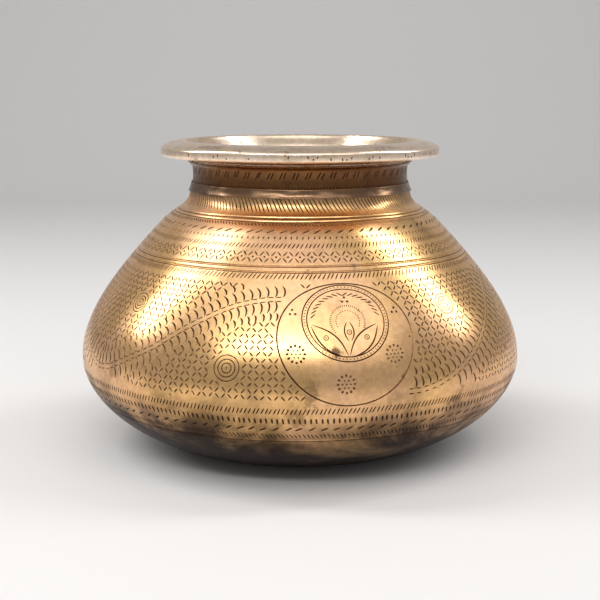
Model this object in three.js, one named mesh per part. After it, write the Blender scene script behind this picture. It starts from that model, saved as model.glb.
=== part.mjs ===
// Engraved brass kalash, a squat round water pot: millimetres, +Z up, origin at the centre of its base.
// Two raised shells meet at the belly, a turned neck stands on them, and a cast lip closes the mouth.
import * as THREE from "three";

// Body outline
const bellyRadius = 100;
const bellyHeight = 41.5;
const baseRadius = 40;
const wall = 1.6;
const bowlFloorReach = 30; // how far the flat base runs on before the bowl turns up
const bowlSideReach = 20; // how far the belly stays upright below its widest line
const bellyTopReach = 18; // the same above it
const slopeRadius = 63.8; // where the shoulder's cone ends
const slopeHeight = 101.4;
const slopeRise = 1.07; // rise over run of that cone
const slopeLowerReach = 22;
const slopeUpperReach = 7;

// Neck and lip
const neckFootRadius = 50;
const neckFootHeight = 116;
const neckWaistInset = 1.4; // how far the waist draws in from the foot
const neckTopInset = 0.8;
const neckHeight = 13;
const neckWall = 2;
const lipOverhang = 13.7; // from the neck's top to the lip's outer edge
const lipEdgeThickness = 3.4;
const lipEdgeRise = 2.4; // height of the lip's lower edge over the neck's top
const lipEdgeRound = 1.4;
const lipFaceRise = 1.7; // how steeply the face leaves the edge before it bends over to the crest
const lipFaceReach = 4.2; // how far the face stays level before the crest
const lipCrestOverhang = 4.2;
const lipCrestHeight = 9.3; // height of the crest over the neck's top
const lipCrestRound = 0.9;
const lipCove = 1.4; // hollow corner under the lip

// Brazed joints
const brazeGap = 0.3;
const bellyStripWidth = 6;
const bellyStripThickness = 1;
const neckBeadWidth = 0.7; // at its foot, thinning out upwards
const neckBeadTopWidth = 0.25;
const neckBeadHeight = 3.8;
const lipFilletSize = 1.2;

// Facets
const turns = 48;
const bowlSteps = 10;
const shoulderSteps = 9;
const neckRootSteps = 4;
const beadSteps = 4;
const lipFaceSteps = 5;

const point = (radius, height) => new THREE.Vector2(radius, height);

function curvePoints(start, startPull, endPull, end, steps) {
  return new THREE.CubicBezierCurve(start, startPull, endPull, end).getPoints(steps);
}

// Outer outline of the lower shell, from the edge of the flat base to the belly
function bowlOutline() {
  return curvePoints(
    point(baseRadius, 0),
    point(baseRadius + bowlFloorReach, 0),
    point(bellyRadius, bellyHeight - bowlSideReach),
    point(bellyRadius, bellyHeight),
    bowlSteps,
  );
}

// Outer outline of the upper shell, from the belly to the neck's foot
function shoulderOutline() {
  const lower = curvePoints(
    point(bellyRadius, bellyHeight),
    point(bellyRadius, bellyHeight + bellyTopReach),
    point(slopeRadius + slopeLowerReach, slopeHeight - slopeRise * slopeLowerReach),
    point(slopeRadius, slopeHeight),
    shoulderSteps,
  );
  const upper = curvePoints(
    point(slopeRadius, slopeHeight),
    point(slopeRadius - slopeUpperReach, slopeHeight + slopeRise * slopeUpperReach),
    point(neckFootRadius, neckFootHeight - slopeUpperReach),
    point(neckFootRadius, neckFootHeight),
    neckRootSteps,
  );
  return [...lower, ...upper.slice(1)];
}

// Inner face of a shell: every outline point moved inwards, square to the outline
function innerOutline(outline, thickness, startTangent, endTangent) {
  return outline.map((here, i) => {
    const before = outline[Math.max(i - 1, 0)];
    const after = outline[Math.min(i + 1, outline.length - 1)];
    let along = after.clone().sub(before);
    if (i === 0) along = startTangent.clone();
    if (i === outline.length - 1) along = endTangent.clone();
    along.normalize();
    return point(here.x - along.y * thickness, here.y + along.x * thickness);
  });
}

const brass = (name, color, roughness) => {
  const material = new THREE.MeshStandardMaterial({ color, roughness, metalness: 1 });
  material.name = name;
  return material;
};

const agedBrass = brass("aged_brass", 0xb98a45, 0.38);
const neckBrass = brass("neck_brass", 0x8d6440, 0.45);
const lipBrass = brass("lip_brass", 0xc79c52, 0.35);
const brazeMetal = brass("braze_metal", 0xa8824e, 0.5);

const kalash = new THREE.Group();

// Turns a profile, listed outer side first from low to high, about the pot's axis
function turnedPiece(name, profile, material) {
  const geometry = new THREE.LatheGeometry(profile, turns);
  geometry.rotateX(Math.PI / 2);
  const piece = new THREE.Mesh(geometry, material);
  piece.name = name;
  kalash.add(piece);
}

const closedProfile = (points) => [...points, points[0].clone()];
const across = point(1, 0);
const upright = point(0, 1);

function addBowl() {
  const outer = bowlOutline();
  const inner = innerOutline(outer, wall, across, upright);
  const profile = [point(0, 0), ...outer, ...inner.reverse(), point(0, wall)];
  turnedPiece("bowl_shell", profile, agedBrass);
}

function addShoulder() {
  const outer = shoulderOutline();
  const inner = innerOutline(outer, wall, upright, upright);
  turnedPiece("shoulder_shell", closedProfile([...outer, ...inner.reverse()]), agedBrass);
}

// Radius of an outline, listed from low to high, at a height
function radiusAt(outline, height) {
  const next = Math.max(1, outline.findIndex((here) => here.y >= height));
  const high = outline[next];
  const low = outline[next - 1];
  return low.x + ((high.x - low.x) * (height - low.y)) / (high.y - low.y);
}

// Strip of brazing metal inside the belly, straddling the seam of the two shells
function addBellyBraze() {
  const bowlInside = innerOutline(bowlOutline(), wall, across, upright);
  const shoulderInside = innerOutline(shoulderOutline(), wall, upright, upright);
  const low = bellyHeight - bellyStripWidth / 2;
  const high = bellyHeight + bellyStripWidth / 2;
  const lowRadius = radiusAt(bowlInside, low) - brazeGap;
  const highRadius = radiusAt(shoulderInside, high) - brazeGap;
  const seamRadius = bellyRadius - wall - brazeGap;
  const profile = [
    point(lowRadius, low),
    point(seamRadius, bellyHeight),
    point(highRadius, high),
    point(highRadius - bellyStripThickness, high - bellyStripThickness),
    point(seamRadius - bellyStripThickness, bellyHeight),
    point(lowRadius - bellyStripThickness, low + bellyStripThickness),
  ];
  turnedPiece("belly_braze", closedProfile(profile), brazeMetal);
}

const neckTop = neckFootHeight + neckHeight;
const neckTopRadius = neckFootRadius - neckTopInset;

// Outline of the neck: in from the foot to the waist, and out again a little at the top
function neckOutline() {
  const waist = neckFootRadius - neckWaistInset;
  return [
    point(neckFootRadius, neckFootHeight),
    point(neckFootRadius - neckWaistInset * 0.6, neckFootHeight + neckHeight * 0.2),
    point(waist, neckFootHeight + neckHeight * 0.45),
    point(waist, neckFootHeight + neckHeight * 0.75),
    point(neckTopRadius, neckTop),
  ];
}

function addNeck() {
  const outer = neckOutline();
  const inner = outer.map((here) => point(here.x - neckWall, here.y));
  turnedPiece("neck_collar", closedProfile([...outer, ...inner.reverse()]), neckBrass);
}

// Thin hammered fillet of brazing metal that follows the neck over the seam with the shoulder
function addNeckBraze() {
  const inner = [];
  const outer = [];
  for (let i = 0; i <= beadSteps; i += 1) {
    const share = i / beadSteps;
    const height = neckFootHeight + neckBeadHeight * share;
    const radius = radiusAt(neckOutline(), height) + brazeGap;
    const width = neckBeadTopWidth + (neckBeadWidth - neckBeadTopWidth) * (1 - share) ** 2;
    inner.push(point(radius, height));
    outer.push(point(radius + width, height));
  }
  turnedPiece("neck_braze", closedProfile([...outer, ...inner.reverse()]), brazeMetal);
}

// The lip: a flange with a rounded edge, a full face that bends over to the crest, and a steep inner wall
function addLip() {
  const boreRadius = neckTopRadius - neckWall;
  const edgeRadius = neckTopRadius + lipOverhang;
  const edgeLow = neckTop + lipEdgeRise;
  const edgeHigh = edgeLow + lipEdgeThickness;
  const crestRadius = neckTopRadius + lipCrestOverhang;
  const crest = neckTop + lipCrestHeight;
  const face = curvePoints(
    point(edgeRadius, edgeHigh),
    point(edgeRadius, edgeHigh + lipFaceRise),
    point(crestRadius + lipFaceReach, crest),
    point(crestRadius, crest),
    lipFaceSteps,
  );
  const profile = [
    point(boreRadius, neckTop),
    point(neckTopRadius, neckTop),
    point(neckTopRadius + lipCove * 0.4, neckTop + lipCove * 0.7),
    point(neckTopRadius + lipCove, neckTop + lipCove),
    point(edgeRadius - lipEdgeRound, edgeLow),
    point(edgeRadius - lipEdgeRound * 0.3, edgeLow + lipEdgeRound * 0.3),
    point(edgeRadius, edgeLow + lipEdgeRound),
    ...face,
    point(crestRadius - lipCrestRound, crest - lipCrestRound * 0.5),
    point(crestRadius - lipCrestRound * 3, crest - lipCrestHeight * 0.5),
    point(boreRadius + lipCrestRound, neckTop + lipCrestHeight * 0.15),
  ];
  turnedPiece("rim_lip", closedProfile(profile), lipBrass);
}

// Fillet of brazing metal in the corner under the lip
function addLipBraze() {
  const cornerRadius = neckTopRadius + brazeGap;
  const cornerHeight = neckTop - brazeGap;
  const profile = [
    point(cornerRadius, cornerHeight - lipFilletSize),
    point(cornerRadius + lipFilletSize * 0.4, cornerHeight - lipFilletSize * 0.4),
    point(cornerRadius + lipFilletSize, cornerHeight),
    point(cornerRadius, cornerHeight),
  ];
  turnedPiece("rim_braze", closedProfile(profile), brazeMetal);
}

addBowl();
addBellyBraze();
addShoulder();
addNeckBraze();
addNeck();
addLipBraze();
addLip();

export default kalash;
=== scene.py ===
import math
import random

import bmesh
import bpy
import numpy as np
from mathutils import Matrix, Vector, noise
from mathutils.bvhtree import BVHTree
from mathutils.interpolate import poly_3d_calc


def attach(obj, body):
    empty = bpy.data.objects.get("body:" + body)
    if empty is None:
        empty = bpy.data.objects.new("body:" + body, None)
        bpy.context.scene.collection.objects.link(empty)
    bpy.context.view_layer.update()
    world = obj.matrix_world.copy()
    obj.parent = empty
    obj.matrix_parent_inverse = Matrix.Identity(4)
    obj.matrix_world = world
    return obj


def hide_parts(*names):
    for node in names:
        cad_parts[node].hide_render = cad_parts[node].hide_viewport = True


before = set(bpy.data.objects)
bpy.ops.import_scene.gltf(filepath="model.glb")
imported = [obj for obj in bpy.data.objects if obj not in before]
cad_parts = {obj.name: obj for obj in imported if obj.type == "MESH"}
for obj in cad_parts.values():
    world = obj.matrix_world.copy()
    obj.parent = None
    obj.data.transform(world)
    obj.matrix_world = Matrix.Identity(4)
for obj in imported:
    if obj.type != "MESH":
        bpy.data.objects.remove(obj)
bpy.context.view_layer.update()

random.seed(7)
mm = 0.001

# The pot's outline, in millimetres from the middle of its base. The large medallion faces -Y.
pot = dict(
    bellyRadius=100.0, bellyHeight=41.5, baseRadius=40.0, wall=1.6,
    floorReach=30.0, sideReach=20.0, bellyTopReach=18.0,
    slopeRadius=63.8, slopeHeight=101.4, slopeRise=1.07, slopeLowerReach=22.0, slopeUpperReach=7.0,
    footRadius=50.0, footHeight=116.0, turns=192,
)


def curve(start, startPull, endPull, end, steps):
    t = np.linspace(0, 1, steps + 1)[:, None]
    a, b, c, d = (np.array(p, float) for p in (start, startPull, endPull, end))
    return (1 - t) ** 3 * a + 3 * (1 - t) ** 2 * t * b + 3 * (1 - t) * t * t * c + t ** 3 * d


# A turned surface: its outline from low to high, with the distance along it as the height coordinate
class TurnedLine:
    def __init__(self, points, zeroAt=0):
        self.points = np.array(points, float)
        steps = np.hypot(*np.diff(self.points, axis=0).T)
        self.run = np.r_[0, np.cumsum(steps)]
        self.run -= self.run[zeroAt]
        tangent = np.gradient(self.points, self.run, axis=0)
        tangent /= np.linalg.norm(tangent, axis=1)[:, None]
        self.tangent = tangent

    def radius(self, run):
        return float(np.interp(run, self.run, self.points[:, 0]))

    def at(self, azimuth, run):
        radius = self.radius(run)
        height = float(np.interp(run, self.run, self.points[:, 1]))
        slopeR = float(np.interp(run, self.run, self.tangent[:, 0]))
        slopeZ = float(np.interp(run, self.run, self.tangent[:, 1]))
        turn = math.radians(azimuth)
        outward = Vector((math.sin(turn), -math.cos(turn), 0))
        east = Vector((math.cos(turn), math.sin(turn), 0))
        north = (outward * slopeR + Vector((0, 0, slopeZ))).normalized()
        normal = (outward * slopeZ - Vector((0, 0, slopeR))).normalized()
        place = outward * radius + Vector((0, 0, height))
        return place, east, north, normal


bellyPoint = (pot["bellyRadius"], pot["bellyHeight"])
bowlLine = curve(
    (pot["baseRadius"], 0), (pot["baseRadius"] + pot["floorReach"], 0),
    (pot["bellyRadius"], pot["bellyHeight"] - pot["sideReach"]), bellyPoint, 40,
)
slopeRadius, slopeHeight, footRadius = pot["slopeRadius"], pot["slopeHeight"], pot["footRadius"]
lowerReach, upperReach = pot["slopeLowerReach"], pot["slopeUpperReach"]
shoulderLine = np.vstack([
    curve(
        bellyPoint, (pot["bellyRadius"], pot["bellyHeight"] + pot["bellyTopReach"]),
        (slopeRadius + lowerReach, slopeHeight - pot["slopeRise"] * lowerReach),
        (slopeRadius, slopeHeight), 34,
    ),
    curve(
        (slopeRadius, slopeHeight), (slopeRadius - upperReach, slopeHeight + pot["slopeRise"] * upperReach),
        (footRadius, pot["footHeight"] - upperReach), (footRadius, pot["footHeight"]), 14,
    )[1:],
])
body = TurnedLine(np.vstack([bowlLine, shoulderLine[1:]]), zeroAt=len(bowlLine) - 1)


def newPiece(name, bm, materials):
    mesh = bpy.data.meshes.new(name)
    bm.to_mesh(mesh)
    bm.free()
    for material in materials:
        mesh.materials.append(material)
    piece = bpy.data.objects.new(name, mesh)
    bpy.context.scene.collection.objects.link(piece)
    return piece


# Spins a closed outline, listed as (radius, height) in millimetres, about the pot's axis
def spunPiece(name, outline, materials, turns=None):
    bm = bmesh.new()
    verts = [bm.verts.new((0, r, z)) for r, z in outline]
    edges = [bm.edges.new((verts[i], verts[(i + 1) % len(verts)])) for i in range(len(verts))]
    bmesh.ops.spin(
        bm, geom=verts + edges, cent=(0, 0, 0), axis=(0, 0, 1), angle=math.tau,
        steps=turns or pot["turns"], use_merge=True, use_duplicate=False,
    )
    bmesh.ops.remove_doubles(bm, verts=bm.verts, dist=1e-4)
    bmesh.ops.dissolve_degenerate(bm, dist=1e-5, edges=bm.edges)
    bmesh.ops.recalc_face_normals(bm, faces=bm.faces)
    return newPiece(name, bm, materials)


# The inner face of a shell, moved in square to its outline, which starts out in the direction firstTangent
def innerLine(line, thickness, firstTangent):
    tangent = np.gradient(line, axis=0)
    tangent /= np.linalg.norm(tangent, axis=1)[:, None]
    tangent[0] = firstTangent
    tangent[-1] = (0, 1)
    return line + np.column_stack([-tangent[:, 1], tangent[:, 0]]) * thickness


# Chisel work. A mark is one blow: a boat-shaped notch, pointed at both ends, deepest in the middle. Blanks
# stand over the metal by the lift, so that they cut through its facets.
chisel = dict(depth=0.26, lineDepth=0.24, lineTip=0.25, lift=0.03)


# The blank for every notch: a six-sided cone, point down, with a corner at each end of its length
def blankMark():
    bm = bmesh.new()
    bmesh.ops.create_cone(bm, cap_ends=True, segments=6, radius1=1, radius2=0, depth=1)
    bmesh.ops.rotate(bm, verts=bm.verts, cent=(0, 0, 0), matrix=Matrix.Rotation(math.pi, 3, "X"))
    bmesh.ops.rotate(bm, verts=bm.verts, cent=(0, 0, 0), matrix=Matrix.Rotation(math.radians(30), 3, "Z"))
    bmesh.ops.translate(bm, verts=bm.verts, vec=(0, 0, -0.5))
    for face in bm.faces:
        face.material_index = 1
    mesh = bpy.data.meshes.new("mark")
    bm.to_mesh(mesh)
    bm.free()
    return mesh


markMesh = blankMark()


# One engraving pass: notches and lines that don't cross each other, cut in one go
class Pass:
    def __init__(self, surface):
        self.surface = surface
        self.bm = bmesh.new()

    # A straight blow with its middle at (azimuth, run), leaning by the angle from east towards north
    def blow(self, azimuth, run, length, lean, width, depth=None):
        place, east, north, normal = self.surface.at(azimuth, run)
        turn = math.radians(lean)
        along = east * math.cos(turn) + north * math.sin(turn)
        side = normal.cross(along)
        deep = (depth or chisel["depth"]) + chisel["lift"]
        flare = deep / (deep - chisel["lift"])  # the notch narrows down to its stated size at the surface
        length *= flare
        halfWidth = width / 2 * flare
        place = place + normal * chisel["lift"]
        matrix = Matrix((
            (along.x * length / 2, side.x * halfWidth, normal.x * deep, place.x),
            (along.y * length / 2, side.y * halfWidth, normal.y * deep, place.y),
            (along.z * length / 2, side.z * halfWidth, normal.z * deep, place.z),
            (0, 0, 0, 1),
        ))
        copy = markMesh.copy()
        copy.transform(matrix)
        self.bm.from_mesh(copy)
        bpy.data.meshes.remove(copy)

    def dot(self, azimuth, run, size, depth=None):
        self.blow(azimuth, run, size, 0, size, depth)

    # A drawn line through (azimuth, run) points, which thins out to its ends unless it closes on itself. The
    # faces of the cut take the piece's material of that slot.
    def line(self, points, width, depth=None, closed=False, slot=1):
        depth = depth or chisel["lineDepth"]
        width *= 1 + chisel["lift"] / depth
        frames = [self.surface.at(a, s) for a, s in points]
        count = len(frames)
        rows = []
        for i, (place, east, north, normal) in enumerate(frames):
            after = frames[(i + 1) % count if closed else min(i + 1, count - 1)][0]
            before = frames[(i - 1) % count if closed else max(i - 1, 0)][0]
            side = normal.cross((after - before).normalized())
            swell = 1.0 if closed else math.sin(math.pi * i / (count - 1)) ** 0.5
            taper = chisel["lineTip"] + (1 - chisel["lineTip"]) * swell
            half = width / 2 * taper
            rows.append([
                self.bm.verts.new(place + normal * chisel["lift"] + side * half),
                self.bm.verts.new(place + normal * chisel["lift"] - side * half),
                self.bm.verts.new(place - normal * depth * taper),
            ])
        for i in range(count if closed else count - 1):
            a, b = rows[i], rows[(i + 1) % count]
            for j in range(3):
                face = self.bm.faces.new((a[j], b[j], b[(j + 1) % 3], a[(j + 1) % 3]))
                face.material_index = slot
        if not closed:
            for face in (self.bm.faces.new(rows[0]), self.bm.faces.new(rows[-1][::-1])):
                face.material_index = 1

    # The same route in separate short blows
    def dashes(self, points, length, gap, width, depth=None):
        places = [self.surface.at(a, s)[0] for a, s in points]
        reach = np.r_[0, np.cumsum([(b - a).length for a, b in zip(places, places[1:])])]
        count = max(1, round(reach[-1] / (length + gap)))
        stops = np.linspace(0, reach[-1], 2 * count + 1)
        azimuths, runs = (np.interp(stops, reach, [p[k] for p in points]) for k in (0, 1))
        for start in range(0, 2 * count, 2):
            azimuth, run = azimuths[start + 1], runs[start + 1]
            ahead = math.radians(azimuths[start + 2] - azimuths[start]) * self.surface.radius(run)
            lean = math.degrees(math.atan2(runs[start + 2] - runs[start], ahead))
            self.blow(azimuth, run, length, lean, width, depth)


# Cuts one pass out of a piece
def carve(piece, engraving, materials):
    bmesh.ops.recalc_face_normals(engraving.bm, faces=engraving.bm.faces)
    mesh = bpy.data.meshes.new("cutter")
    engraving.bm.to_mesh(mesh)
    for material in materials:
        mesh.materials.append(material)
    cutter = bpy.data.objects.new("cutter", mesh)
    bpy.context.scene.collection.objects.link(cutter)
    cut = piece.modifiers.new("engrave", "BOOLEAN")
    cut.operation = "DIFFERENCE"
    cut.solver = "MANIFOLD"
    cut.object = cutter
    result = bpy.data.meshes.new_from_object(piece.evaluated_get(bpy.context.evaluated_depsgraph_get()))
    piece.modifiers.clear()
    old = piece.data
    piece.data = result
    bpy.data.meshes.remove(old)
    bpy.data.objects.remove(cutter)
    bpy.data.meshes.remove(mesh)


# One value or vector for each vertex, corner or face of a mesh, as an array
def gathered(items, label, width=1, kind=float):
    values = np.empty(len(items) * width, kind)
    items.foreach_get(label, values)
    return values.reshape(-1, width) if width > 1 else values


def setNormals(mesh, normals):
    mesh.polygons.foreach_set("use_smooth", np.ones(len(mesh.polygons), bool))
    mesh.normals_split_custom_set(normals)
    mesh.update()


# Gives the turned surface its true round normals, and leaves every chisel facet crisp. The skin is how far
# from the outline a vertex still counts as outside; facing is how well a face agrees with the round normal.
polishing = dict(skin=0.4, outerFacing=0.8, innerFacing=0.9)


def polish(piece, surface):
    mesh = piece.data
    co = gathered(mesh.vertices, "co", 3)
    radius = np.hypot(co[:, 0], co[:, 1])
    order = np.argsort(surface.points[:, 1], kind="stable")
    heights = surface.points[order, 1]
    fit = np.interp(co[:, 2], heights, surface.points[order, 0])
    slopeR = np.interp(co[:, 2], heights, surface.tangent[order, 0])
    slopeZ = np.interp(co[:, 2], heights, surface.tangent[order, 1])
    outward = co[:, :2] / np.maximum(radius, 1e-9)[:, None]
    true = np.column_stack([outward * slopeZ[:, None], -slopeR])
    true /= np.linalg.norm(true, axis=1)[:, None]
    near = np.abs(radius - fit) < polishing["skin"]
    loopVerts = gathered(mesh.loops, "vertex_index", kind=int)
    totals = gathered(mesh.polygons, "loop_total", kind=int)
    kinds = gathered(mesh.polygons, "material_index", kind=int)
    flats = gathered(mesh.polygons, "normal", 3)
    owner = np.repeat(np.arange(len(totals)), totals)
    soft = np.array([v.vector for v in mesh.vertex_normals])
    agree = (true[loopVerts] * flats[owner]).sum(axis=1) > polishing["outerFacing"]
    smooth = near[loopVerts] & agree & (kinds[owner] == 0)
    within = (soft[loopVerts] * flats[owner]).sum(axis=1) > polishing["innerFacing"]
    inner = (kinds[owner] == 0) & ~smooth & within
    normals = flats[owner].copy()
    normals[smooth] = true[loopVerts][smooth]
    normals[inner] = soft[loopVerts][inner]
    setNormals(mesh, [tuple(n) for n in normals])


# The same for a piece with a fold in its outline. The normals come from a copy of its mesh from before the
# chisel, which is then thrown away.
def polishFrom(piece, plain):
    bm = bmesh.new()
    bm.from_mesh(plain)
    bpy.data.meshes.remove(plain)
    tree = BVHTree.FromBMesh(bm)
    bm.faces.ensure_lookup_table()
    corners = [[(v.co.copy(), v.normal.copy()) for v in face.verts] for face in bm.faces]
    bm.free()
    mesh = piece.data
    normals = []
    for polygon in mesh.polygons:
        for index in polygon.vertices:
            if polygon.material_index:
                normals.append(tuple(polygon.normal))
                continue
            spot, _, face, _ = tree.find_nearest(mesh.vertices[index].co + polygon.normal * -0.01)
            weights = poly_3d_calc([place for place, normal in corners[face]], spot)
            blend = sum((normal * w for (_, normal), w in zip(corners[face], weights)), Vector())
            normals.append(tuple(blend.normalized()))
    setNormals(mesh, normals)


# A wrap-around map for the bake: round the pot along u, up the outline along v, the inside in a strip of its
# own. A strip is its start and its height in v.
bakeMap = dict(outsideStrip=(0.02, 0.78), insideStrip=(0.82, 0.16), flatShare=0.4, inwardLimit=-0.35)


def wrapMap(piece):
    mesh = piece.data
    co = gathered(mesh.vertices, "co", 3)
    corner = gathered(mesh.loops, "vertex_index", kind=int)
    totals = gathered(mesh.polygons, "loop_total", kind=int)
    centers = gathered(mesh.polygons, "center", 3)
    facing = gathered(mesh.polygons, "normal", 3)
    owner = np.repeat(np.arange(len(totals)), totals)
    middle = np.arctan2(centers[:, 0], -centers[:, 1])[owner]
    azimuth = np.arctan2(co[corner, 0], -co[corner, 1])
    azimuth = middle + (azimuth - middle + np.pi) % math.tau - np.pi
    u = np.clip(azimuth / math.tau + 0.5, 0, 1)
    radius = np.hypot(co[:, 0], co[:, 1])
    low, high = co[:, 2].min(), co[:, 2].max()
    climb = (co[:, 2] - low + (radius.max() - radius)) / (high - low + radius.max())
    flat = bakeMap["flatShare"]
    fold = np.where(co[:, 2] < low + 1e-3, flat * radius / radius.max(), flat + (1 - flat) * climb)
    rim = np.hypot(centers[:, 0], centers[:, 1]) + 1e-9
    outward = (facing[:, 0] * centers[:, 0] + facing[:, 1] * centers[:, 1]) / rim + facing[:, 2] * 0.4
    lowAndCentral = (rim < 0.85 * radius.max()) & (centers[:, 2] < low + 0.6 * (high - low))
    inward = (outward < bakeMap["inwardLimit"]) | ((facing[:, 2] > 0.5) & lowAndCentral)
    strips = zip(bakeMap["insideStrip"], bakeMap["outsideStrip"])
    start, span = (np.where(inward[owner], inside, outside) for inside, outside in strips)
    v = start + span * fold[corner]
    layer = mesh.uv_layers.new(name="OFBake")
    layer.data.foreach_set("uv", np.column_stack([u, v]).astype(np.float32).ravel())


# Scales a finished millimetre mesh to metres, and sets what it rides on and stands for
def settle(piece, slotName, *nodes):
    wrapMap(piece)
    piece.data.transform(Matrix.Scale(mm, 4))
    piece.data.name = piece.name
    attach(piece, "root")
    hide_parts(*nodes)


# Materials. feed sets a socket to a value, or links it to the socket that gives the value.
def feed(tree, socket, value):
    if isinstance(value, bpy.types.NodeSocket):
        tree.links.new(value, socket)
    else:
        socket.default_value = value


def addNode(tree, kind, settings):
    node = tree.nodes.new(kind)
    for socket, value in settings.items():
        feed(tree, node.inputs[socket], value)
    return node


def noiseNode(tree, vector, scale, detail, roughness=0.6, distortion=0.0):
    settings = dict(Vector=vector, Scale=scale, Detail=detail, Roughness=roughness, Distortion=distortion)
    return addNode(tree, "ShaderNodeTexNoise", settings).outputs["Fac"]


def spread(tree, value, low, high, toLow=0.0, toHigh=1.0):
    settings = {"Value": value, "From Min": low, "From Max": high, "To Min": toLow, "To Max": toHigh}
    node = addNode(tree, "ShaderNodeMapRange", settings)
    node.interpolation_type = "SMOOTHSTEP"
    return node.outputs["Result"]


def blendColor(tree, factor, first, second, blend="MIX"):
    node = tree.nodes.new("ShaderNodeMix")
    node.data_type = "RGBA"
    node.blend_type = blend
    for socket, value in (("Factor", factor), (6, first), (7, second)):
        feed(tree, node.inputs[socket], value)
    return node.outputs[2]


def maths(tree, operation, first, second, clamp=True):
    node = addNode(tree, "ShaderNodeMath", {0: first, 1: second})
    node.operation = operation
    node.use_clamp = clamp and operation != "MULTIPLY"
    return node.outputs[0]


# Old brass: gold where it is rubbed, pink where copper shows, brown where it is tarnished, and dark low down,
# where tarnish and a painted dark reflection meet. Scales are per metre, edges and distances in metres.
aging = dict(
    cloudScale=18, patchScale=34, speckleScale=420, pitScale=150, dentScale=75, mostPink=0.8,
    ragged=0.010, lowFade=0.034, highFade=0.008, spotStrength=0.75, grainDark=0.86,
    smoothest=0.2, roughest=0.32, dirtAndShadeRoughness=0.22, dentHeight=0.9, speckleHeight=0.07, pitHeight=0.06,
    bumpDistance=0.0005,
)
# Dark patches: azimuth, run along the outline and radius in millimetres, and strength
stains = [
    (8.6, 19.0, 3.4, 0.8), (2.0, 2.0, 8.0, 0.5), (-1.0, -8.0, 6.0, 0.55), (17.5, 57.4, 3.2, 0.6),
    (40.0, -8.0, 10.0, 0.6), (-24.0, -14.0, 9.0, 0.6), (-52.0, 4.0, 7.0, 0.4), (56.0, 72.0, 9.0, 0.5),
    (130.0, 30.0, 10.0, 0.5), (200.0, 8.0, 12.0, 0.6),
]


def agedMetalGroup():
    group = bpy.data.node_groups.new("agedMetal", "ShaderNodeTree")
    for label in ("gold", "copper", "tarnish"):
        group.interface.new_socket(label, in_out="INPUT", socket_type="NodeSocketColor")
    for label in ("amount", "lowEdge", "highEdge"):
        group.interface.new_socket(label, in_out="INPUT", socket_type="NodeSocketFloat")
    for label, kind in (("Color", "Color"), ("Roughness", "Float"), ("Height", "Float")):
        group.interface.new_socket(label, in_out="OUTPUT", socket_type="NodeSocket" + kind)
    given = group.nodes.new("NodeGroupInput").outputs
    end = group.nodes.new("NodeGroupOutput")
    coords = group.nodes.new("ShaderNodeTexCoord").outputs["Object"]
    height = addNode(group, "ShaderNodeSeparateXYZ", {0: coords}).outputs["Z"]
    clouds = noiseNode(group, coords, aging["cloudScale"], 5, 0.6, 0.6)
    patches = noiseNode(group, coords, aging["patchScale"], 6, 0.65, 0.4)
    speckle = noiseNode(group, coords, aging["speckleScale"], 3, 0.5)
    pits = noiseNode(group, coords, aging["pitScale"], 4, 0.7)
    dents = noiseNode(group, coords, aging["dentScale"], 1, 0.4)
    pink = spread(group, clouds, 0.42, 0.66, 0.0, aging["mostPink"])
    metal = blendColor(group, pink, given["gold"], given["copper"])
    # The pot darkens below the engraving, with a ragged upper limit: partly tarnish, partly a painted dark
    # reflection on the lower belly
    rag = spread(group, patches, 0.3, 0.7, -aging["ragged"], aging["ragged"])
    ragged = maths(group, "ADD", height, rag, clamp=False)
    above = maths(group, "SUBTRACT", ragged, given["lowEdge"], clamp=False)
    low = maths(group, "SUBTRACT", 1.0, spread(group, above, 0.0, aging["lowFade"]))
    stain = maths(group, "MULTIPLY", spread(group, patches, 0.5, 0.72), given["amount"])
    spots = maths(group, "MULTIPLY", spread(group, pits, 0.64, 0.72), aging["spotStrength"])
    # This mask holds the real stains and pits, and the painted dark reflection low down
    dirtAndShade = maths(group, "MAXIMUM", maths(group, "MAXIMUM", low, stain), spots)
    # Soot that has crept down from the neck
    climb = maths(group, "SUBTRACT", height, given["highEdge"], clamp=False)
    uneven = spread(group, patches, 0.3, 0.6, 0.3, 0.8)
    high = maths(group, "MULTIPLY", spread(group, climb, 0.0, aging["highFade"]), uneven)
    dirtAndShade = maths(group, "MAXIMUM", dirtAndShade, high)
    for azimuth, run, size, strength in stains:
        gap = addNode(group, "ShaderNodeVectorMath", {0: coords, 1: body.at(azimuth, run)[0] * mm})
        gap.operation = "DISTANCE"
        blot = maths(group, "ADD", gap.outputs["Value"], spread(group, pits, 0.3, 0.7, 0.0, size * 0.9 * mm))
        faded = maths(group, "SUBTRACT", 1.0, spread(group, blot, size * 0.7 * mm, size * 1.3 * mm))
        dirtAndShade = maths(group, "MAXIMUM", dirtAndShade, maths(group, "MULTIPLY", faded, strength))
    grain = spread(group, speckle, 0.35, 0.65, aging["grainDark"], 1.0)
    tarnishedAndShaded = blendColor(group, dirtAndShade, metal, given["tarnish"])
    feed(group, end.inputs["Color"], blendColor(group, 1.0, tarnishedAndShaded, grain, "MULTIPLY"))
    wear = spread(group, clouds, 0.3, 0.7, aging["smoothest"], aging["roughest"])
    rough = maths(group, "ADD", wear, maths(group, "MULTIPLY", dirtAndShade, aging["dirtAndShadeRoughness"]))
    feed(group, end.inputs["Roughness"], rough)
    fine = maths(group, "MULTIPLY", speckle, aging["speckleHeight"])
    pitted = maths(group, "ADD", fine, maths(group, "MULTIPLY", pits, aging["pitHeight"]))
    relief = maths(group, "ADD", maths(group, "MULTIPLY", dents, aging["dentHeight"]), pitted)
    feed(group, end.inputs["Height"], relief)
    return group


agedMetal = agedMetalGroup()


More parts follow.
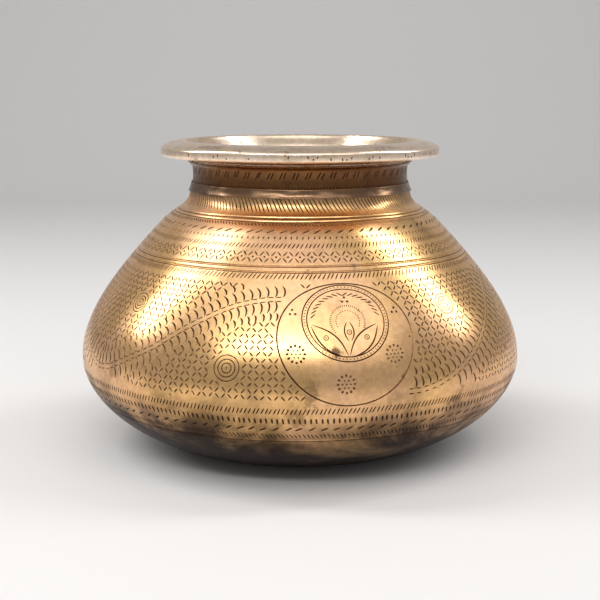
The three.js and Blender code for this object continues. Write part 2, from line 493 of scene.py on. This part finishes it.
def brassMaterial(name, look):
    material = bpy.data.materials.new(name)
    material.use_nodes = True
    tree = material.node_tree
    shader = tree.nodes["Principled BSDF"]
    metal = tree.nodes.new("ShaderNodeGroup")
    metal.node_tree = agedMetal
    for label in metal.inputs.keys():
        metal.inputs[label].default_value = look[label]
    shader.inputs["Metallic"].default_value = 1.0
    feed(tree, shader.inputs["Base Color"], metal.outputs["Color"])
    feed(tree, shader.inputs["Roughness"], metal.outputs["Roughness"])
    relief = dict(Strength=look["bump"], Distance=aging["bumpDistance"], Height=metal.outputs["Height"])
    feed(tree, shader.inputs["Normal"], addNode(tree, "ShaderNodeBump", relief).outputs["Normal"])
    return material


# Edges are heights in metres: the metal is dark below the low one, partly tarnish and partly a painted dark
# reflection, and sooty above the high one. The amount is how much tarnish lies in patches.
looks = dict(
    # The shell's near-black tarnish colour also paints the dark reflection below its low edge
    shell=dict(gold=(0.90, 0.54, 0.23, 1), copper=(0.88, 0.52, 0.30, 1), tarnish=(0.035, 0.017, 0.011, 1),
               amount=0.22, lowEdge=0.0135, highEdge=0.110, bump=0.45),
    groove=dict(gold=(0.17, 0.09, 0.04, 1), copper=(0.14, 0.07, 0.035, 1), tarnish=(0.04, 0.022, 0.013, 1),
                amount=0.6, lowEdge=0.02, highEdge=0.110, bump=0.3),
    neck=dict(gold=(0.20, 0.09, 0.034, 1), copper=(0.14, 0.06, 0.03, 1), tarnish=(0.06, 0.03, 0.02, 1),
              amount=0.9, lowEdge=-1.0, highEdge=1.0, bump=0.4),
    neckGroove=dict(gold=(0.03, 0.017, 0.01, 1), copper=(0.025, 0.014, 0.01, 1),
                    tarnish=(0.015, 0.01, 0.008, 1), amount=0.6, lowEdge=-1.0, highEdge=1.0, bump=0.3),
    # The lip's brass is paler and brighter than the body's: a painted highlight that brightens its
    # reflections
    lip=dict(gold=(0.97, 0.76, 0.56, 1), copper=(0.95, 0.78, 0.68, 1), tarnish=(0.30, 0.19, 0.12, 1),
             amount=0.4, lowEdge=-1.0, highEdge=1.0, bump=0.4),
    braze=dict(gold=(0.26, 0.155, 0.09, 1), copper=(0.15, 0.09, 0.055, 1), tarnish=(0.05, 0.03, 0.02, 1),
               amount=0.8, lowEdge=-1.0, highEdge=1.0, bump=0.9),
)
shellBrass = brassMaterial("engravedBrass", looks["shell"])
grooveBrass = brassMaterial("grooveTarnish", looks["groove"])
neckBrass = brassMaterial("neckPatina", looks["neck"])
# The lip's material carries the painted highlight of its paler colour
lipBrass = brassMaterial("lipBrass", looks["lip"])
brazeBrass = brassMaterial("brazeMetal", looks["braze"])
grooveDark = brassMaterial("neckGroove", looks["neckGroove"])
print("materials ready")

# Engraved bands: each row of blows runs right round. Lean is the angle from level, runs are distances
# along the outline above the belly's widest line, and pitch is the spacing, all in millimetres and degrees.
bands = dict(
    fineTicks=dict(run=78.7, length=2.7, lean=125, pitch=1.5, width=0.56),
    longDashes=dict(run=74.7, length=4.4, lean=32, pitch=4.7, width=0.95),
    pairMarks=dict(run=71.4, length=1.9, lean=80, pitch=2.3, width=0.75),
    upperTicks=dict(run=67.4, length=3.4, lean=62, pitch=1.7, width=0.6),
    lowerTicks=dict(run=52.6, length=3.9, lean=60, pitch=1.75, width=0.62),
    bellyTicks=dict(run=-3.9, length=4.1, lean=64, pitch=1.65, width=0.62),
    teardrops=dict(run=-8.2, length=3.4, lean=96, pitch=2.2, width=1.0),
    bowlDashes=dict(run=-12.2, length=4.2, lean=30, pitch=4.8, width=1.0),
    bowlTicks=dict(run=-16.1, length=3.7, lean=118, pitch=1.65, width=0.58),
)
rings = dict(
    upperRing=(83.2, 81.0), middleRing=(57.6, 55.1), bowlRing=(-18.8,),
    width=0.85, depth=0.34, wave=0.18, shadowOffset=0.75, shadowWidth=0.4, shadowDepth=0.2,
)
medallion = dict(azimuth=11.65, run=23.7, halfWidth=28.0, halfHeight=25.4, repeats=2, width=0.6, depth=0.26)
innerOval = dict(turn=0.2, run=32.0, outer=(17.6, 16.4), inner=(15.7, 14.5), outerWidth=0.55, innerWidth=0.5)


# The unevenness of handwork, up to the amount to either side
def jitter(amount):
    return random.uniform(-amount, amount)


def bandRow(engraving, band):
    radius = body.radius(band["run"])
    count = round(math.tau * radius / band["pitch"])
    for i in range(count):
        engraving.blow(
            360 * (i + 0.5 + jitter(0.1)) / count - 180, band["run"] + jitter(0.12),
            band["length"] * random.uniform(0.9, 1.05), band["lean"] + jitter(4), band["width"],
        )


def wavyRing(run, phase):
    wave = rings["wave"]
    return [(a, run + wave * math.sin(math.radians(a * 3) + phase)) for a in np.arange(-180, 180, 2.0)]


def degreesOf(length, run):
    return math.degrees(length / body.radius(run))


# A point in a medallion's own millimetres, right and up from its middle
def local(azimuth, run, x, y):
    return azimuth + degreesOf(x, run + y), run + y


# A point on an oval round a middle, at an angle up from the right
def onOval(azimuth, run, halfWidth, halfHeight, angle):
    turn = math.radians(angle)
    return local(azimuth, run, halfWidth * math.cos(turn), halfHeight * math.sin(turn))


def ovalPoints(azimuth, run, halfWidth, halfHeight, count, start=0.0, sweep=360.0):
    return [onOval(azimuth, run, halfWidth, halfHeight, start + sweep * i / count) for i in range(count)]


# The vine that runs in a wave from one medallion to the next, as (degrees from the medallion, run)
vineStations = [
    (13.5, 2.0), (18, 2.0), (23.2, 3.8), (30, 8.2), (37.5, 15.0), (48.5, 27.5), (56, 37.5), (62, 43.5),
    (68, 45.5), (74, 43.5), (81, 35), (90, 21.5), (99, 9.5), (109, 3.6), (115, 5.2), (120.8, 9.6),
    (130, 17.2), (138, 27.2), (142.5, 31.7), (147.5, 36.4), (152, 39.4), (158.8, 41.9), (164.5, 42.2),
]
stem = dict(
    stationsPerDash=7, dashLength=2.75, dashWidth=0.58, offset=0.95,
    leafLean=26, leafTurn=52, leafStart=1.9, leafGrowth=4.4, leafWidth=0.85, leafDepth=0.28,
    rankLean=78, rankOffset=5.6, rankSizes=(1.0, 0.68), lowest=0.2, highest=49.8,
)


def vinePath(step=0.5):
    stations = np.array(vineStations)
    reach = np.r_[0, np.cumsum(np.hypot(np.diff(stations[:, 0]) * 1.6, np.diff(stations[:, 1])))]
    fine = np.arange(0, reach[-1], step)
    smoothed = np.column_stack([np.interp(fine, reach, stations[:, k]) for k in (0, 1)])
    kernel = np.ones(15) / 15
    padded = np.pad(smoothed, ((7, 7), (0, 0)), mode="edge")
    return np.column_stack([np.convolve(padded[:, k], kernel, mode="valid") for k in (0, 1)])


vine = vinePath()

# Rosettes of concentric circles: degrees from the medallion, run and radius
concentric = [(-28.8, 12.6, 5.2), (31.6, 35.8, 4.6), (-61.4, 34.9, 4.4)]
circles = dict(shares=(1.0, 0.68, 0.38), width=0.42, depth=0.2, dot=0.9)
repeats = medallion["repeats"]
medallionCentres = [medallion["azimuth"] + k * 360 / repeats for k in range(repeats)]


def wrapped(angle):
    return (angle + 180) % 360 - 180


# Distance in millimetres from a place to the nearest vine
def vineDistance(azimuth, run):
    best = 1e9
    for centre in medallionCentres:
        across = np.radians(vine[:, 0] - wrapped(azimuth - centre) % 360) * body.radius(run)
        best = min(best, float(np.min(np.hypot(across, vine[:, 1] - run))))
    return best


# Whether a medallion or a rosette covers a place, or comes nearer to it than the margin
def covered(azimuth, run, margin):
    for centre in medallionCentres:
        across = math.radians(wrapped(azimuth - centre)) * body.radius(run)
        wide, high = medallion["halfWidth"] + margin, medallion["halfHeight"] + margin
        if (across / wide) ** 2 + ((run - medallion["run"]) / high) ** 2 < 1:
            return True
        for offset, height, size in concentric:
            across = math.radians(wrapped(azimuth - centre - offset)) * body.radius(run)
            if math.hypot(across, run - height) < size + margin:
                return True
    return False


shellMaterials = [shellBrass, grooveBrass]
passes = []


def engraveRings():
    engraving = Pass(body)
    for run in (*rings["upperRing"], *rings["middleRing"], *rings["bowlRing"]):
        engraving.line(wavyRing(run, run), rings["width"], rings["depth"], closed=True, slot=0)
        shadow = wavyRing(run - rings["shadowOffset"], run)
        engraving.line(shadow, rings["shadowWidth"], rings["shadowDepth"], closed=True)
    for centre in medallionCentres:
        rim = ovalPoints(centre, medallion["run"], medallion["halfWidth"], medallion["halfHeight"], 120)
        engraving.line(rim, medallion["width"], medallion["depth"], closed=True)
        for size, width in (("outer", "outerWidth"), ("inner", "innerWidth")):
            oval = ovalPoints(centre + innerOval["turn"], innerOval["run"], *innerOval[size], 96)
            engraving.line(oval, innerOval[width], closed=True)
    passes.append(engraving)


def engraveBands():
    engraving = Pass(body)
    for band in bands.values():
        bandRow(engraving, band)
    passes.append(engraving)


# Long strokes on the hollow root of the neck, which have to follow its curve. The drift is in degrees.
collar = dict(low=85.9, high=93.4, pitch=1.85, drift=4.2, width=0.62, depth=0.26)


def engraveCollar():
    engraving = Pass(body)
    low, tall = collar["low"], collar["high"] - collar["low"]
    count = round(math.tau * body.radius(low) / collar["pitch"])
    for i in range(count):
        foot = 360 * i / count - 180 + jitter(0.25)
        rise = random.uniform(0.8, 1.0)
        stroke = [(foot - collar["drift"] * rise * t, low + tall * rise * t) for t in np.linspace(0, 1, 6)]
        engraving.line(stroke, collar["width"], collar["depth"])
    passes.append(engraving)


# Diamonds with a punched dot between them, in the band over the middle ring. Each lean has its own start,
# a share of the pitch, so that four strokes meet as one diamond.
diamonds = dict(
    run=61.9, pitch=4.85, length=3.354, width=0.66, rise=1.55, strokes=((52, 0.25), (128, 0.75)),
    dot=1.05, dotDepth=0.3,
)


def engraveDiamondBand():
    run = diamonds["run"]
    count = round(math.tau * body.radius(run) / diamonds["pitch"])
    for lean, shift in diamonds["strokes"]:
        engraving = Pass(body)
        for i in range(count):
            for up in (-1, 1):
                place = 360 * (i + (shift if up > 0 else 1 - shift)) / count - 180
                height = run + up * diamonds["rise"]
                engraving.blow(place, height, diamonds["length"], lean + jitter(3), diamonds["width"])
        if lean < 90:
            for i in range(count):
                engraving.dot(360 * (i + 0.5) / count - 180, run, diamonds["dot"], diamonds["dotDepth"])
        passes.append(engraving)


# The field: rows of small diamonds, left out under the medallions, rosettes and leaves
lattice = dict(
    first=1.6, last=49.0, rise=2.45, pitch=4.9, pitchRun=26.0, length=3.05, width=0.74,
    strokes=((50, 0.25), (130, 0.75)), motifMargin=1.7, vineMargin=9.4,
)


def engraveLattice():
    count = round(math.tau * body.radius(lattice["pitchRun"]) / lattice["pitch"])
    rows = int((lattice["last"] - lattice["first"]) / lattice["rise"]) + 1
    for lean, shift in lattice["strokes"]:
        engraving = Pass(body)
        for row in range(rows):
            run = lattice["first"] + row * lattice["rise"]
            for i in range(count):
                place = 360 * (i + shift + (row % 2) * 0.5) / count - 180 + jitter(0.12)
                if covered(place, run, lattice["motifMargin"]):
                    continue
                if vineDistance(place, run) < lattice["vineMargin"]:
                    continue
                height = run + jitter(0.15)
                length = lattice["length"] * random.uniform(0.92, 1.03)
                engraving.blow(place, height, length, lean + jitter(4), lattice["width"])
        passes.append(engraving)


# The comma leaves of both ranks on one side of the vine, at a station in degrees from -Y and run
def addLeaves(leaves, azimuth, run, angle, side):
    outward = math.radians(angle + side * stem["rankLean"])
    for rank, size in enumerate(stem["rankSizes"]):
        baseX = stem["rankOffset"] * rank * math.cos(outward)
        baseY = stem["rankOffset"] * rank * math.sin(outward)
        leaf = []
        for t in np.linspace(0, 1, 5):
            turn = math.radians(angle + side * (stem["leafLean"] + stem["leafTurn"] * t))
            reach = (stem["leafStart"] + stem["leafGrowth"] * t) * size
            leaf.append(local(azimuth, run, baseX + reach * math.cos(turn), baseY + reach * math.sin(turn)))
        if all(not covered(*p, 0.8) and stem["lowest"] < p[1] < stem["highest"] for p in leaf):
            leaves.line(leaf, stem["leafWidth"], stem["leafDepth"])


# Two dashed stems side by side, with two ranks of comma leaves on each side
def engraveVine():
    engraving = Pass(body)
    leaves = Pass(body)
    tangent = np.gradient(vine, axis=0)
    for centre in medallionCentres:
        for i in range(0, len(vine) - 8, stem["stationsPerDash"]):
            here, run = vine[i + 3]
            slope = tangent[i + 3]
            scale = math.radians(1) * body.radius(run)
            angle = math.degrees(math.atan2(slope[1], slope[0] * scale))
            across = math.radians(angle + 90)
            for side in (-1, 1):
                shift = side * stem["offset"]
                place = local(centre + here, run, shift * math.cos(across), shift * math.sin(across))
                if not covered(*place, 0.6):
                    engraving.blow(*place, stem["dashLength"], angle + jitter(2), stem["dashWidth"])
            for side in (-1, 1):
                addLeaves(leaves, centre + here, run, angle, side)
    passes.append(engraving)
    passes.append(leaves)


def engraveRosettes(engraving, centre):
    for offset, run, size in concentric:
        for share in circles["shares"]:
            circle = ovalPoints(centre + offset, run, size * share, size * share, 28)
            engraving.line(circle, circles["width"], circles["depth"], closed=True)
        engraving.dot(centre + offset, run, circles["dot"])


# Hatching between the two lines of the inner oval, and slanting rays inside the upper part of it
hatching = dict(count=72, reach=(16.7, 15.5), length=0.95, slant=25, width=0.42, depth=0.18)
rays = dict(first=14, last=170, step=9, reach=(13.4, 12.2), length=3.3, slant=35, width=0.6)


def hatchInnerOval(details, centre):
    azimuth, run = centre + innerOval["turn"], innerOval["run"]
    for i in range(hatching["count"]):
        angle = 360 * i / hatching["count"]
        place = onOval(azimuth, run, *hatching["reach"], angle)
        lean = angle + hatching["slant"]
        details.blow(*place, hatching["length"], lean, hatching["width"], hatching["depth"])
    for angle in range(rays["first"], rays["last"], rays["step"]):
        slant = rays["slant"] if angle < 90 else -rays["slant"]
        place = onOval(azimuth, run, *rays["reach"], angle)
        details.blow(*place, rays["length"], angle + slant + 90, rays["width"])


# Lotus: two side petals over a heart point with a bud between them, drawn in lines, each with a ringed eye
lotus = dict(
    heart=16.9, petalTips=((-14.2, 31.2), (13.2, 30.8)), petalBulges=(3.1, -3.4), petalWidth=0.68,
    petalDepth=0.28, turn=0.6, budFoot=23.4, budHeight=9.0, budHalfWidth=1.9, budMiddle=29, budWidth=0.6,
    budDepth=0.26,
)
eye = dict(share=0.6, run=26.0, budRun=27.6, radius=0.95, width=0.36, depth=0.2, pupil=0.65, pupilDepth=0.22)


def engraveLotus(engraving, details, centre):
    eyes = []
    for tip, tipRun in lotus["petalTips"]:
        rise = tipRun - lotus["heart"]
        lengthwise = math.hypot(tip, rise)
        for bulge in lotus["petalBulges"]:
            arc = []
            for t in np.linspace(0.05, 0.97, 13):
                swell = math.sin(math.pi * t) * bulge
                x = tip * t - math.copysign(1, tip) * swell * rise / lengthwise
                run = lotus["heart"] + rise * t + swell * abs(tip) / lengthwise
                arc.append((centre + degreesOf(x, run), run))
            details.line(arc, lotus["petalWidth"], lotus["petalDepth"])
        turn = degreesOf(tip * eye["share"], eye["run"])
        eyes.append((centre + turn, lotus["heart"] + rise * eye["share"]))
    middle = centre + lotus["turn"]
    for side in (-1, 1):
        bud = []
        for t in np.linspace(0.04, 0.96, 11):
            swell = degreesOf(lotus["budHalfWidth"] * math.sin(math.pi * t) ** 0.8, lotus["budMiddle"])
            bud.append((middle + side * swell, lotus["budFoot"] + lotus["budHeight"] * t))
        details.line(bud, lotus["budWidth"], lotus["budDepth"])
    eyes.append((middle, eye["budRun"]))
    for azimuth, run in eyes:
        ring = ovalPoints(azimuth, run, eye["radius"], eye["radius"], 14)
        engraving.line(ring, eye["width"], eye["depth"], closed=True)
        engraving.dot(azimuth, run, eye["pupil"], eye["pupilDepth"])


# The pearl arc over the bud: a ring of fine ticks, and a dashed arc inside it
pearls = dict(count=38, start=-38, sweep=256, radius=7.0, length=1.1, width=0.36, depth=0.2)
innerArc = dict(start=-30, sweep=250, radius=4.8, length=0.8, gap=0.3, width=0.4, depth=0.2)


def engravePearls(engraving, centre):
    middle = (centre + lotus["turn"], innerOval["run"])
    for i in range(pearls["count"]):
        angle = pearls["start"] + i * pearls["sweep"] / (pearls["count"] - 1)
        place = onOval(*middle, pearls["radius"], pearls["radius"], angle)
        engraving.blow(*place, pearls["length"], angle, pearls["width"], pearls["depth"])
    radius = innerArc["radius"]
    arc = ovalPoints(*middle, radius, radius, 24, innerArc["start"], innerArc["sweep"])
    engraving.dashes(arc, innerArc["length"], innerArc["gap"], innerArc["width"], innerArc["depth"])


# Punched work round the lotus: threes of dots, and flowers, whose petals are rings of blows, each ring as
# (count, radius, length, width). A place is in millimetres right of the medallion's middle, and run; the
# single dot is at a turn in degrees and a run, with its size and depth.
dots = dict(
    places=((0.8, 41.6), (-20.6, 36.4), (21.2, 35.8)), size=1.2, depth=0.28,
    three=((0, 1.1), (-1.05, -0.75), (1.05, -0.75)), single=(16.3, 24.0, 0.95, 0.26),
)
flowers = dict(
    places=((-21.0, 19.0), (18.9, 17.6), (-1.9, 6.8)), depth=0.27,
    petals=((12, 3.4, 1.4, 1.1), (6, 1.65, 0.75, 0.75), (1, 0.0, 0.8, 0.8)),
)


def engravePunched(engraving, centre):
    for x, run in dots["places"]:
        for right, up in dots["three"]:
            engraving.dot(*local(centre, run + up, x + right, 0), dots["size"], dots["depth"])
    for x, run in flowers["places"]:
        for count, away, length, width in flowers["petals"]:
            for i in range(count):
                turn = math.tau * i / count
                place = local(centre, run, x + away * math.cos(turn), away * math.sin(turn))
                engraving.blow(*place, length, math.degrees(turn), width, flowers["depth"])
    turn, run, size, depth = dots["single"]
    engraving.dot(centre + turn, run, size, depth)


def engraveMotifs():
    engraving = Pass(body)
    details = Pass(body)
    for centre in medallionCentres:
        engraveRosettes(engraving, centre)
        hatchInnerOval(details, centre)
        engraveLotus(engraving, details, centre)
        engravePearls(engraving, centre)
        engravePunched(engraving, centre)
    passes.append(engraving)
    passes.append(details)


engraveRings()
engraveBands()
engraveCollar()
engraveDiamondBand()
engraveLattice()
engraveVine()
engraveMotifs()

shoulderInside = innerLine(shoulderLine[::4], pot["wall"], (0, 1))
shoulder = spunPiece("engravedShoulder", [*shoulderLine, *shoulderInside[::-1]], shellMaterials)
bowlInside = innerLine(bowlLine[::4], pot["wall"], (1, 0))
bowlOutline = [(0, 0), (pot["baseRadius"] / 2, 0), *bowlLine, *bowlInside[::-1], (0, pot["wall"])]
bowl = spunPiece("engravedBowl", bowlOutline, shellMaterials)
print("shells turned", len(shoulder.data.polygons), len(bowl.data.polygons))
for engraving in passes:
    for shell in (shoulder, bowl):
        carve(shell, engraving, shellMaterials)
    engraving.bm.free()
for shell in (shoulder, bowl):
    polish(shell, body)
print("engraved", len(shoulder.data.polygons), len(bowl.data.polygons))
settle(shoulder, "aged_brass", "shoulder_shell")
settle(bowl, "aged_brass", "bowl_shell")

# Neck: a short ring with pairs of slanting strokes, over a row of small ticks
neck = dict(
    foot=(50.0, 116.0), top=(49.2, 129.0), footPull=(48.4, 119.0), topPull=(48.2, 125.5), waist=48.6,
    wall=2.0, strokeRun=9.7, strokeLength=5.6, strokeLean=64, strokeWidth=0.55, pairPitch=5.4, pairGap=1.5,
    pairStart=-179, tickRun=4.4, tickLength=1.3, tickLean=96, tickWidth=0.5, tickPitch=1.35,
)
neckLine = curve(neck["foot"], neck["footPull"], neck["topPull"], neck["top"], 18)


def makeNeck():
    inside = neckLine[::3] - np.array((neck["wall"], 0))
    piece = spunPiece("neckRing", [*neckLine, *inside[::-1]], [neckBrass, grooveDark])
    plain = piece.data.copy()
    surface = TurnedLine(neckLine)
    engraving = Pass(surface)
    apart = math.degrees(neck["pairGap"] / neck["waist"])
    count = round(math.tau * surface.radius(neck["strokeRun"]) / neck["pairPitch"])
    for i in range(count):
        for side in (-0.5, 0.5):
            place = 360 * i / count + neck["pairStart"] + side * apart + jitter(0.25)
            length = neck["strokeLength"] * random.uniform(0.75, 1.0)
            run = neck["strokeRun"] + jitter(0.4)
            engraving.blow(place, run, length, neck["strokeLean"] + jitter(4), neck["strokeWidth"])
    count = round(math.tau * surface.radius(neck["tickRun"]) / neck["tickPitch"])
    for i in range(count):
        place = 360 * i / count - 180 + jitter(0.2)
        run = neck["tickRun"] + jitter(0.12)
        engraving.blow(place, run, neck["tickLength"], neck["tickLean"] + jitter(8), neck["tickWidth"])
    carve(piece, engraving, [neckBrass, grooveDark])
    engraving.bm.free()
    polishFrom(piece, plain)
    settle(piece, "neck_brass", "neck_collar")


# Lip: a flange with a rounded, nicked edge, a face that bends over to the crest, and a steep inner wall.
# Hatches are groups of strokes on the face: first and last azimuth, and their drift in degrees.
lip = dict(
    seat=49.2, bore=47.2, low=129.0, edge=62.9, edgeLow=131.4, edgeThickness=3.4, edgeRound=1.4, edgeFlat=1.0,
    faceRise=1.7, faceReach=4.2, crest=53.4, top=138.3, crestRound=0.9, crestDrop=0.45, cove=1.4,
    crestPulls=((-0.3, 0), (-0.7, -0.2)), wallPulls=((51.3, 135.4), (47.6, 133.0)),
)
hatches = dict(
    groups=(
        (-47, -35, 3.5), (32, 43, -2.5), (88, 99, 3.5), (140, 152, -2.5), (196, 208, 3.5), (262, 271, -2.5),
    ),
    pitch=1.3, start=0.9, reach=5.4, width=0.55, depth=0.2,
)
nicks = dict(
    pitch=2.2, run=2.9, width=0.6, depth=0.25, wornFrom=-8, wornTo=22, wornShare=0.6, otherShare=0.15,
)


def lipCurves():
    seat, low, cove, bend, top = lip["seat"], lip["low"], lip["cove"], lip["edgeRound"], lip["top"]
    high = lip["edgeLow"] + lip["edgeThickness"]
    turns = [math.radians(a) for a in range(-90, 1, 15)]
    middle = (lip["edge"] - bend, lip["edgeLow"] + bend)
    edge = [(middle[0] + bend * math.cos(t), middle[1] + bend * math.sin(t)) for t in turns]
    edge += [(lip["edge"], middle[1] + lip["edgeFlat"]), (lip["edge"], high)]
    coveEnd = (seat + cove * 1.3, low + cove)
    hollow = curve((seat, low), (seat, low + cove), (seat + cove * 0.3, low + cove), coveEnd, 5)
    underside = [tuple(p) for p in np.linspace(hollow[-1], edge[0], 6)[1:-1]]
    face = curve(
        edge[-1], (lip["edge"], high + lip["faceRise"]), (lip["crest"] + lip["faceReach"], top),
        (lip["crest"], top), 16,
    )[1:]
    crestPulls = [(lip["crest"] + x, top + z) for x, z in lip["crestPulls"]]
    crestEnd = (lip["crest"] - lip["crestRound"], top - lip["crestDrop"])
    crest = curve((lip["crest"], top), *crestPulls, crestEnd, 4)[1:]
    wall = curve(crestEnd, *lip["wallPulls"], (lip["bore"], low), 12)[1:]
    return edge, face, [*hollow, *underside, *edge, *face, *crest, *wall]


def makeLip():
    edge, face, outline = lipCurves()
    piece = spunPiece("flaredLip", outline, [lipBrass, grooveBrass])
    plain = piece.data.copy()
    faceMarks = Pass(TurnedLine(face))
    for first, last, drift in hatches["groups"]:
        for azimuth in np.arange(first, last, hatches["pitch"]):
            foot = azimuth + jitter(0.2)
            stroke = []
            for t in (0, 0.33, 0.67, 1):
                stroke.append((foot + drift * t, hatches["start"] + hatches["reach"] * t + jitter(0.2)))
            faceMarks.line(stroke, hatches["width"], hatches["depth"], slot=0)
    edgeMarks = Pass(TurnedLine(edge))
    for azimuth in np.arange(-178, 178, nicks["pitch"]):
        worn = nicks["wornFrom"] < azimuth < nicks["wornTo"]
        if random.random() < (nicks["wornShare"] if worn else nicks["otherShare"]):
            place = azimuth + jitter(0.6)
            run = nicks["run"] + jitter(0.6)
            length = random.uniform(0.9, 1.7)
            edgeMarks.blow(place, run, length, 90 + jitter(30), nicks["width"], nicks["depth"])
    for engraving in (faceMarks, edgeMarks):
        carve(piece, engraving, [lipBrass, grooveBrass])
        engraving.bm.free()
    polishFrom(piece, plain)
    settle(piece, "lip_brass", "rim_lip")


# The fillet of brazing metal at the foot of the neck follows it up, uneven from the hammer
bead = dict(
    gap=0.3, footWidth=0.42, topWidth=0.2, height=3.8, steps=10, turns=256,
    ripples=9, ripple=0.003, rippleMiddle=0.4,
)


def neckRadius(height):
    return float(np.interp(height, neckLine[:, 1], neckLine[:, 0]))


def makeBead():
    inner, outer = [], []
    for step in range(bead["steps"] + 1):
        share = step / bead["steps"]
        height = neck["foot"][1] + bead["height"] * share
        radius = neckRadius(height) + bead["gap"]
        width = bead["topWidth"] + (bead["footWidth"] - bead["topWidth"]) * (1 - share) ** 2
        inner.append((radius, height))
        outer.append((radius + width, height))
    piece = spunPiece("neckBead", [*outer, *inner[::-1]], [brazeBrass], bead["turns"])
    for vert in piece.data.vertices:
        azimuth = math.atan2(vert.co.x, -vert.co.y)
        if math.hypot(vert.co.x, vert.co.y) > neckRadius(vert.co.z) + bead["gap"] + 0.1:
            around = Vector((math.cos(azimuth), math.sin(azimuth), 0)) * bead["ripples"]
            swell = noise.noise(around + Vector((0, 0, vert.co.z * 0.5)))
            vert.co.xy *= 1 + (swell - bead["rippleMiddle"]) * bead["ripple"]
    piece.data.shade_smooth()
    settle(piece, "braze_metal", "neck_braze")


makeNeck()
makeLip()
makeBead()
print("neck, lip and bead made")

# Two brazed joints stay as the solids of the frame
for nodeName, material in (("belly_braze", brazeBrass), ("rim_braze", neckBrass)):
    node = bpy.data.objects[nodeName]
    node.data.materials.clear()
    node.data.materials.append(material)

# Floor, light and camera, in metres. A lamp has its place, the point that it faces, its size and its power.
stage = dict(width=7.0, front=-3.2, back=1.1, bend=0.6, height=2.2, color=(0.80, 0.785, 0.775, 1), world=0.4)
lamps = dict(
    leftSoftbox=((-0.75, 0.1, 0.75), (0, 0, 0.08), (0.2, 0.8), 4),
    rightSoftbox=((0.75, 0.15, 0.75), (0, 0, 0.08), (0.17, 0.8), 3.2),
    frontPanel=((0, -0.75, 1.1), (0, 0, 0.06), (2.2, 0.95), 8),
    frontStrip=((-0.25, -1.0, 0.92), (0, 0, 0.06), (1.0, 0.16), 3.6),
)
camera = dict(distance=0.571, height=0.1653, pitch=10.022, focalPixels=1250.2, imageSize=600)


# The floor runs back and bends up into a backdrop of the same pale paper
def addFloor():
    bm = bmesh.new()
    path = [(stage["front"], 0.0), (0.0, 0.0)]
    for step in range(13):
        turn = math.pi / 2 * step / 12
        path.append((stage["back"] + stage["bend"] * math.sin(turn), stage["bend"] * (1 - math.cos(turn))))
    path.append((stage["back"] + stage["bend"], stage["height"]))
    verts = [bm.verts.new((-stage["width"] / 2, y, z - 0.0002)) for y, z in path]
    edges = [bm.edges.new(pair) for pair in zip(verts, verts[1:])]
    made = bmesh.ops.extrude_edge_only(bm, edges=edges)
    moved = [item for item in made["geom"] if isinstance(item, bmesh.types.BMVert)]
    bmesh.ops.translate(bm, verts=moved, vec=(stage["width"], 0, 0))
    bmesh.ops.recalc_face_normals(bm, faces=bm.faces)
    material = bpy.data.materials.new("palePaper")
    material.use_nodes = True
    shader = material.node_tree.nodes["Principled BSDF"]
    shader.inputs["Base Color"].default_value = stage["color"]
    shader.inputs["Roughness"].default_value = 0.8
    floor = newPiece("floor", bm, [material])
    floor.data.shade_smooth()


def addLamp(name, place, aim, size, power):
    light = bpy.data.lights.new(name, "AREA")
    light.shape = "RECTANGLE"
    light.size, light.size_y = size
    light.energy = power
    lamp = bpy.data.objects.new(name, light)
    lamp.location = place
    lamp.rotation_euler = (Vector(aim) - Vector(place)).to_track_quat("-Z", "Y").to_euler()
    bpy.context.scene.collection.objects.link(lamp)


# The world is white to the camera, and dimmer as a light
def addLight():
    world = bpy.data.worlds.new("studio")
    world.use_nodes = True
    tree = world.node_tree
    background = tree.nodes["Background"]
    background.inputs["Color"].default_value = (1, 1, 1, 1)
    path = tree.nodes.new("ShaderNodeLightPath")
    settings = {"Value": path.outputs["Is Camera Ray"], "To Min": stage["world"], "To Max": 1.0}
    feed(tree, background.inputs["Strength"], addNode(tree, "ShaderNodeMapRange", settings).outputs["Result"])
    bpy.context.scene.world = world
    for name, settings in lamps.items():
        addLamp(name, *settings)


def addCamera():
    data = bpy.data.cameras.new("camera")
    data.sensor_width = 36
    data.lens = camera["focalPixels"] / camera["imageSize"] * data.sensor_width
    data.clip_start = 0.01
    viewer = bpy.data.objects.new("camera", data)
    viewer.location = (0, -camera["distance"], camera["height"])
    viewer.rotation_euler = (math.radians(90 - camera["pitch"]), 0, 0)
    bpy.context.scene.collection.objects.link(viewer)
    bpy.context.scene.camera = viewer


addFloor()
addLight()
addCamera()
bpy.context.scene.view_settings.view_transform = "Standard"
